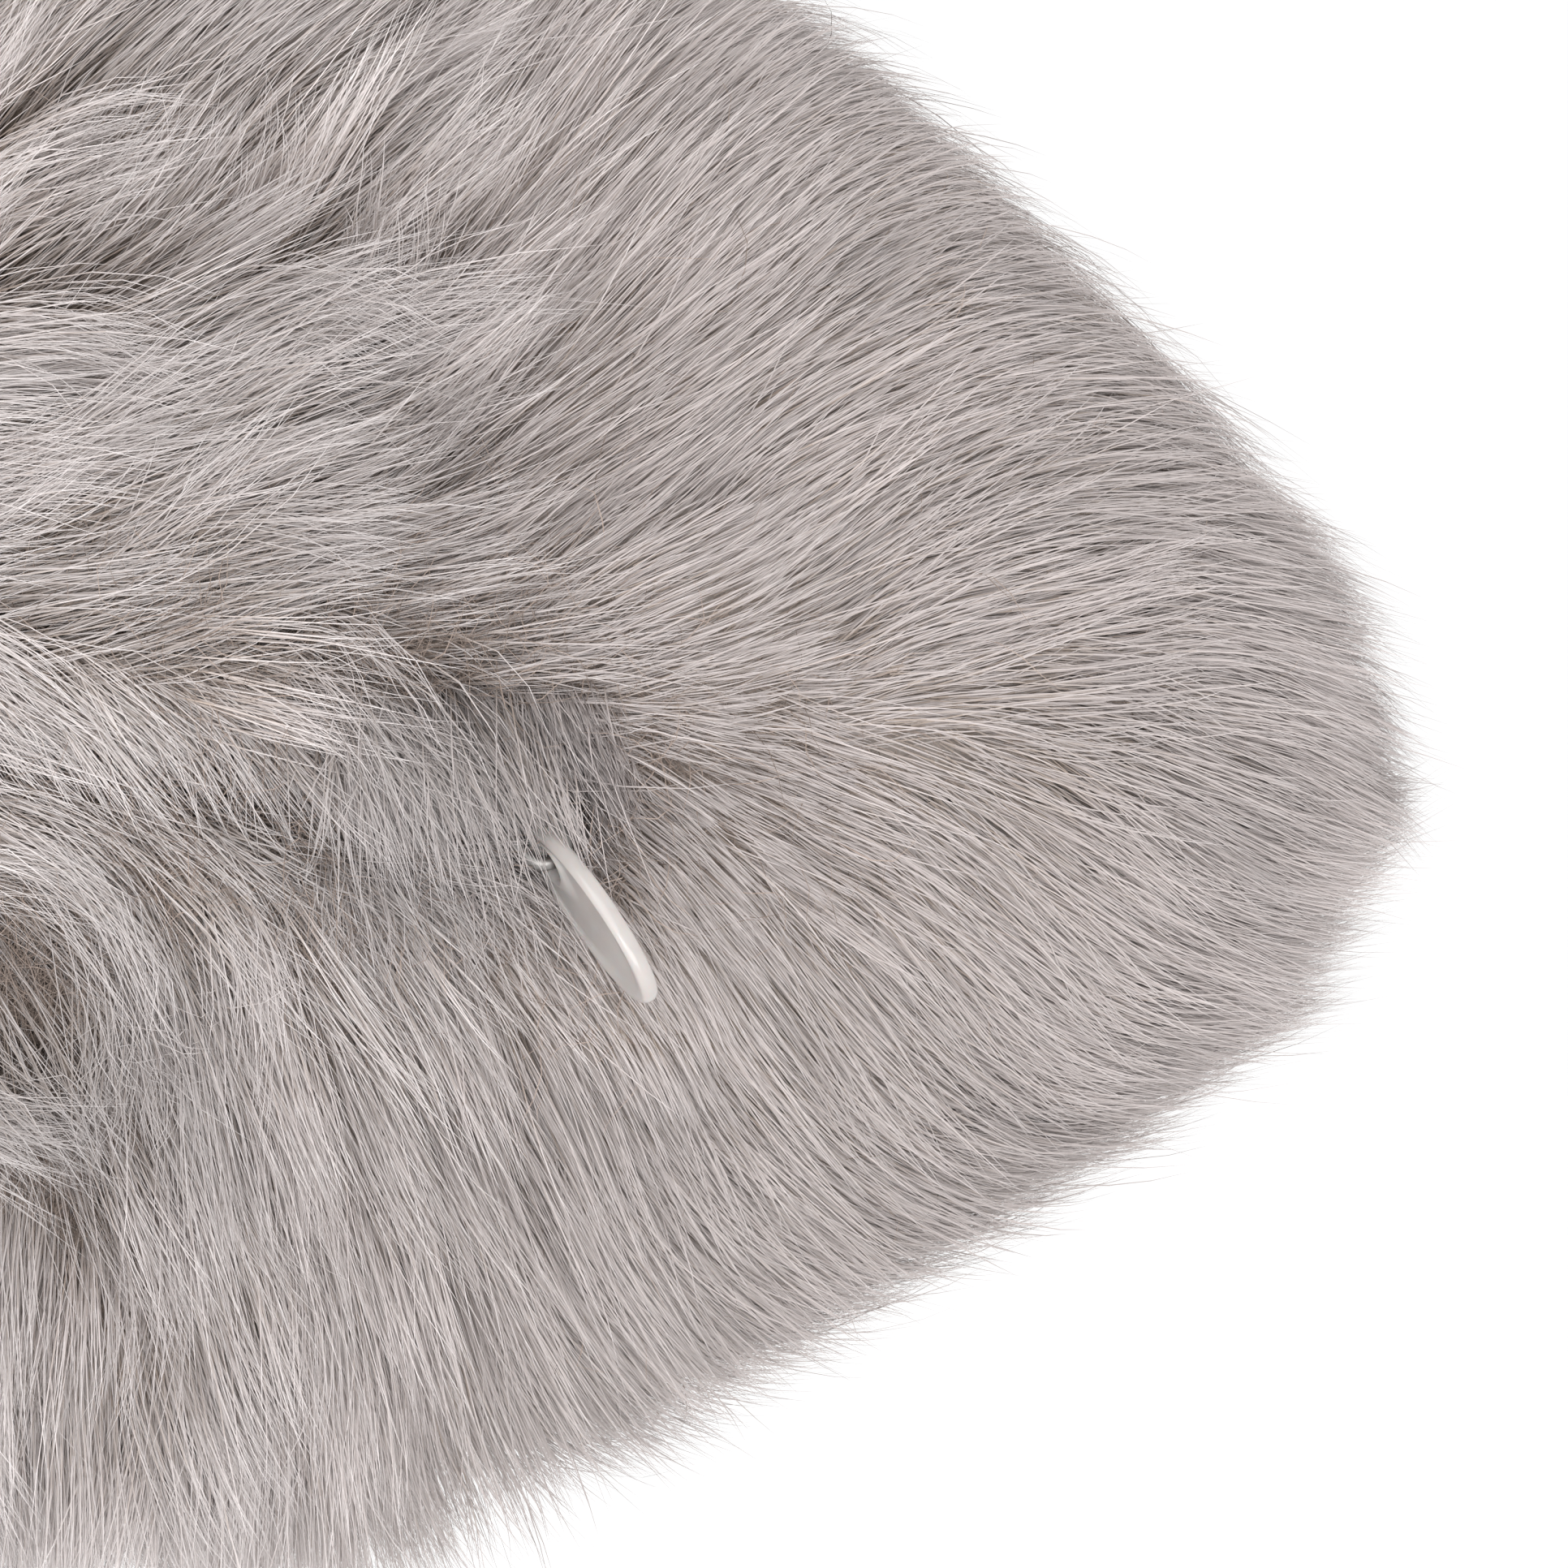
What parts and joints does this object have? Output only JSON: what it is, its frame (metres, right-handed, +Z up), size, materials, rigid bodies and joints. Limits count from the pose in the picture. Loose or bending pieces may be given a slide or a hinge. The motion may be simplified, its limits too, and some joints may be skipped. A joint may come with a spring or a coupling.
{
  "type": "microphone furry windscreen",
  "caption": "Slip-on fur windscreen with a rounded nose, foam core, side zip with an oval pull tab, and a rear collar that grips a shotgun microphone.",
  "frame": {"origin": "centre of the microphone socket, in the plane of the collar's rear face", "axes": "+X along the bore towards the nose, +Z up, zip on the -Y side"},
  "size_m": [0.232, 0.1556, 0.156],
  "materials": {
    "fur": "long soft warm grey pile",
    "lining": "knitted mesh",
    "webbing": "woven tape",
    "monofilament": "satin nylon",
    "slider_metal": "satin plated zinc",
    "clear_plastic": "glossy, slightly translucent",
    "foam": "open-cell foam",
    "spacer_mesh": "spacer mesh",
    "hard_plastic": "fine moulded texture",
    "rubber": "soft matte",
    "elastic": "matte"
  },
  "bodies": {
    "root": {"rear_collar": "hard_plastic", "collar_ring_nut": "hard_plastic", "mic_grip": "rubber", "hem_elastic": "elastic", "hem_channel": "lining", "foam_body": "foam", "foam_nose": "foam", "bore_sleeve": "spacer_mesh", "bore_end_disc": "spacer_mesh", "lining_upper": "lining", "lining_lower": "lining", "seam_binding": "webbing", "fur_panel_upper": "fur", "fur_panel_lower": "fur", "zip_guard_strip": "webbing", "zip_tape_upper": "webbing", "zip_tape_lower": "webbing", "zip_teeth_upper": "monofilament", "zip_teeth_lower": "monofilament", "zip_top_stop_upper": "slider_metal", "zip_top_stop_lower": "slider_metal", "zip_bottom_stop": "slider_metal"},
    "slider": {"zip_slider": "slider_metal"},
    "link": {"pull_link": "slider_metal"},
    "tab": {"pull_tab": "clear_plastic"}
  },
  "joints": [
    {"name": "zip_slide", "type": "slide", "parent": "root", "child": "slider", "axis": [1, 0, 0], "range_m": [-0.102, 0]},
    {"name": "link_swivel", "type": "hinge", "parent": "slider", "child": "link", "pos_m": [0.1606, -0.0616, 0], "axis": [0, 1, 0], "range_deg": [-92, 44]},
    {"name": "tab_swing", "type": "hinge", "parent": "link", "child": "tab", "pos_m": [0.1647, -0.06381, -0.00425], "axis": [-0.7565, -0.37, -0.5393], "range_deg": [-12, 70]}
  ]
}
